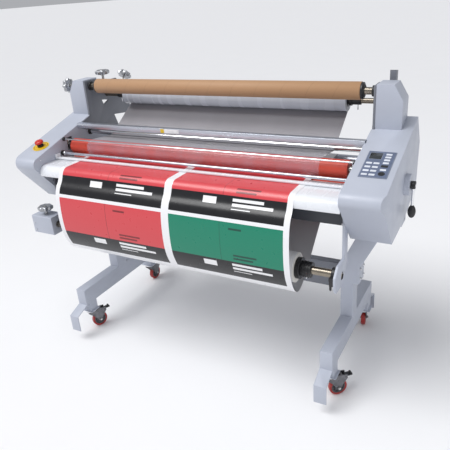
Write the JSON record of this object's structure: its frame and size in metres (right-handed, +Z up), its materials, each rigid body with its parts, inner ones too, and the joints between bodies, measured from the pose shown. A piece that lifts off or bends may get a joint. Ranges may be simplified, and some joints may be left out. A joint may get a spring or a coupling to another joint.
{
  "type": "cold roll laminator",
  "caption": "Wide-format cold roll laminator on a wheeled stand, with silicone nip rollers, roll shafts, feed table, pressure lever and control panel.",
  "frame": {"origin": "on the floor, under the centre of the machine's overall box", "axes": "+X to the operator's right along the rollers, +Y away from the operator towards the film roll, +Z up"},
  "size_m": [1.996, 0.902, 1.424],
  "materials": {
    "cover_paint": "light grey fine-texture powder coat",
    "plate_paint": "mid grey powder coat",
    "black_paint": "black powder coat",
    "rail_aluminium": "satin anodised",
    "table_white": "smooth white enamel",
    "polished_steel": "polished bar",
    "ground_steel": "ground steel shafting",
    "roller_silicone": "red silicone rubber, satin",
    "drive_rubber": "matt",
    "motor_paint": "dark grey",
    "core_card": "spiral wound card",
    "film": "clear film on grey liner",
    "film_wound": "wound film",
    "print_media": "coated print media",
    "media_white": "wound white media",
    "knob_alloy": "cast, shot blasted",
    "black_plastic": "fine texture",
    "yellow_plastic": "smooth",
    "red_plastic": "smooth",
    "panel_plastic": "membrane overlay",
    "inlet_metal": "grey",
    "fork_metal": "black zinc",
    "wheel_urethane": "red polyurethane tread"
  },
  "bodies": {
    "frame": {"leg_left": "cover_paint", "leg_right": "cover_paint", "cross_beam": "plate_paint", "table_beams": "black_paint", "side_plate_left": "plate_paint", "side_plate_right": "plate_paint", "cover_left": "cover_paint", "cover_right": "cover_paint", "tower_cover_left": "cover_paint", "tower_cover_right": "cover_paint", "top_rail": "rail_aluminium", "feed_table": "table_white", "hold_down_bar": "table_white", "guide_bars": "polished_steel", "hanger_left": "plate_paint", "hanger_right": "cover_paint", "brake_box_c": "cover_paint", "rear_brackets": "plate_paint", "bearing_blocks": "ground_steel", "gearmotor": "motor_paint", "drive_belt": "drive_rubber", "control_panel": "panel_plastic", "estop_base": "yellow_plastic", "power_inlet": "inlet_metal", "fasteners": "polished_steel", "print_web": "print_media", "film_web": "film"},
    "lower_roller_body": {"lower_roller": "roller_silicone"},
    "motor_pulley_body": {"motor_pulley": "ground_steel"},
    "upper_carriage": {"roller_carriers": "ground_steel"},
    "upper_roller_body": {"upper_roller": "roller_silicone", "upper_shaft": "ground_steel"},
    "pressure_lever_body": {"pressure_lever": "ground_steel", "lever_grip": "black_plastic"},
    "liner_shaft": {"shaft_a": "ground_steel", "core_a": "core_card"},
    "film_shaft": {"shaft_b": "ground_steel", "film_roll": "film_wound"},
    "print_shaft": {"shaft_c": "ground_steel", "print_roll": "media_white"},
    "rear_idler_body": {"rear_idler": "ground_steel"},
    "clamp_lever_body": {"clamp_lever": "black_plastic"},
    "knob_a_body": {"knob_a": "knob_alloy"},
    "knob_b_body": {"knob_b": "knob_alloy"},
    "knob_c_body": {"knob_c": "knob_alloy"},
    "knob_d_body": {"knob_d": "knob_alloy"},
    "estop_body": {"estop_button": "red_plastic"},
    "rocker_body": {"rocker": "black_plastic"},
    "fork_front_right_body": {"fork_front_right": "fork_metal"},
    "wheel_front_right_body": {"wheel_front_right": "wheel_urethane"},
    "pedal_front_right_body": {"pedal_front_right": "black_plastic"},
    "fork_front_left_body": {"fork_front_left": "fork_metal"},
    "wheel_front_left_body": {"wheel_front_left": "wheel_urethane"},
    "pedal_front_left_body": {"pedal_front_left": "black_plastic"},
    "fork_rear_right_body": {"fork_rear_right": "fork_metal"},
    "wheel_rear_right_body": {"wheel_rear_right": "wheel_urethane"},
    "pedal_rear_right_body": {"pedal_rear_right": "black_plastic"},
    "fork_rear_left_body": {"fork_rear_left": "fork_metal"},
    "wheel_rear_left_body": {"wheel_rear_left": "wheel_urethane"},
    "pedal_rear_left_body": {"pedal_rear_left": "black_plastic"}
  },
  "joints": [
    {"name": "lower_roller_spin", "type": "hinge", "parent": "frame", "child": "lower_roller_body", "pos_m": [-0.02, -0.14254, 0.9988], "axis": [1, 0, 0], "continuous": true},
    {"name": "motor_spin", "type": "hinge", "parent": "frame", "child": "motor_pulley_body", "pos_m": [0.83, 0.01746, 0.89], "axis": [1, 0, 0], "continuous": true},
    {"name": "pressure_lever_turn", "type": "hinge", "parent": "frame", "child": "pressure_lever_body", "pos_m": [-0.02, -0.03254, 1], "axis": [-1, 0, 0], "range_deg": [0, 180]},
    {"name": "nip_lift", "type": "slide", "parent": "frame", "child": "upper_carriage", "axis": [0, 0, 1], "range_m": [0, 0.025], "deforming": ["film_web"]},
    {"name": "upper_roller_spin", "type": "hinge", "parent": "upper_carriage", "child": "upper_roller_body", "pos_m": [-0.02, -0.14254, 1.0812], "axis": [1, 0, 0], "continuous": true},
    {"name": "liner_shaft_spin", "type": "hinge", "parent": "frame", "child": "liner_shaft", "pos_m": [-0.02, 0.09246, 1.36], "axis": [1, 0, 0], "continuous": true},
    {"name": "film_shaft_spin", "type": "hinge", "parent": "frame", "child": "film_shaft", "pos_m": [-0.02, 0.21946, 1.291], "axis": [1, 0, 0], "continuous": true},
    {"name": "print_shaft_spin", "type": "hinge", "parent": "frame", "child": "print_shaft", "pos_m": [-0.02, -0.34254, 0.69], "axis": [1, 0, 0], "continuous": true},
    {"name": "rear_idler_spin", "type": "hinge", "parent": "frame", "child": "rear_idler_body", "pos_m": [-0.02, 0.18746, 1.0139], "axis": [1, 0, 0], "continuous": true},
    {"name": "clamp_lever_turn", "type": "hinge", "parent": "frame", "child": "clamp_lever_body", "pos_m": [0.73, -0.34254, 0.66], "axis": [-1, 0, 0], "range_deg": [0, 90]},
    {"name": "knob_a_turn", "type": "hinge", "parent": "frame", "child": "knob_a_body", "pos_m": [-0.907, 0.09246, 1.36], "axis": [-1, 0, 0], "range_deg": [0, 720]},
    {"name": "knob_b_turn", "type": "hinge", "parent": "frame", "child": "knob_b_body", "pos_m": [-0.85, 0.24446, 1.4], "axis": [0, 0, 1], "range_deg": [0, 720]},
    {"name": "knob_c_turn", "type": "hinge", "parent": "frame", "child": "knob_c_body", "pos_m": [-0.892, -0.34254, 0.76], "axis": [0, 0, 1], "range_deg": [0, 720]},
    {"name": "knob_d_turn", "type": "hinge", "parent": "frame", "child": "knob_d_body", "pos_m": [-0.825, 0.36476, 1.3243], "axis": [0, 0.7071, 0.7071], "range_deg": [0, 720]},
    {"name": "estop_press", "type": "slide", "parent": "frame", "child": "estop_body", "axis": [0, 0.2812, -0.9596], "range_m": [0, 0.006]},
    {"name": "rocker_tilt", "type": "hinge", "parent": "frame", "child": "rocker_body", "pos_m": [0.92, 0.10946, 0.792], "axis": [0, 1, 0], "range_deg": [0, 14]},
    {"name": "swivel_front_right", "type": "hinge", "parent": "frame", "child": "fork_front_right_body", "pos_m": [0.712, -0.29754, 0.123], "axis": [0, 0, 1], "continuous": true},
    {"name": "roll_front_right", "type": "hinge", "parent": "fork_front_right_body", "child": "wheel_front_right_body", "pos_m": [0.74272, -0.2689, 0.045], "axis": [-0.682, 0.7314, 0], "continuous": true},
    {"name": "brake_front_right", "type": "hinge", "parent": "fork_front_right_body", "child": "pedal_front_right_body", "pos_m": [0.76758, -0.24571, 0.101], "axis": [-0.682, 0.7314, 0], "range_deg": [0, 12]},
    {"name": "swivel_front_left", "type": "hinge", "parent": "frame", "child": "fork_front_left_body", "pos_m": [-0.752, -0.29754, 0.123], "axis": [0, 0, 1], "continuous": true},
    {"name": "roll_front_left", "type": "hinge", "parent": "fork_front_left_body", "child": "wheel_front_left_body", "pos_m": [-0.73492, -0.25917, 0.045], "axis": [-0.9135, 0.4067, 0], "continuous": true},
    {"name": "brake_front_left", "type": "hinge", "parent": "fork_front_left_body", "child": "pedal_front_left_body", "pos_m": [-0.72109, -0.22811, 0.101], "axis": [-0.9135, 0.4067, 0], "range_deg": [0, 12]},
    {"name": "swivel_rear_right", "type": "hinge", "parent": "frame", "child": "fork_rear_right_body", "pos_m": [0.712, 0.29946, 0.123], "axis": [0, 0, 1], "continuous": true},
    {"name": "roll_rear_right", "type": "hinge", "parent": "fork_rear_right_body", "child": "wheel_rear_right_body", "pos_m": [0.70471, 0.34082, 0.045], "axis": [-0.9848, -0.1736, 0], "continuous": true},
    {"name": "brake_rear_right", "type": "hinge", "parent": "fork_rear_right_body", "child": "pedal_rear_right_body", "pos_m": [0.6988, 0.3743, 0.101], "axis": [-0.9848, -0.1736, 0], "range_deg": [0, 12]},
    {"name": "swivel_rear_left", "type": "hinge", "parent": "frame", "child": "fork_rear_left_body", "pos_m": [-0.752, 0.29946, 0.123], "axis": [0, 0, 1], "continuous": true},
    {"name": "roll_rear_left", "type": "hinge", "parent": "fork_rear_left_body", "child": "wheel_rear_left_body", "pos_m": [-0.75053, 0.34143, 0.045], "axis": [-0.9994, 0.0349, 0], "continuous": true},
    {"name": "brake_rear_left", "type": "hinge", "parent": "fork_rear_left_body", "child": "pedal_rear_left_body", "pos_m": [-0.74935, 0.37541, 0.101], "axis": [-0.9994, 0.0349, 0], "range_deg": [0, 12]}
  ],
  "couplings": [
    {"joint": "motor_spin", "follows": "lower_roller_spin", "ratio": 1.5},
    {"joint": "upper_roller_spin", "follows": "lower_roller_spin", "ratio": -1},
    {"joint": "rear_idler_spin", "follows": "lower_roller_spin", "ratio": 1.6},
    {"joint": "pressure_lever_turn", "follows": "nip_lift", "rad_per_m": 125.66}
  ]
}
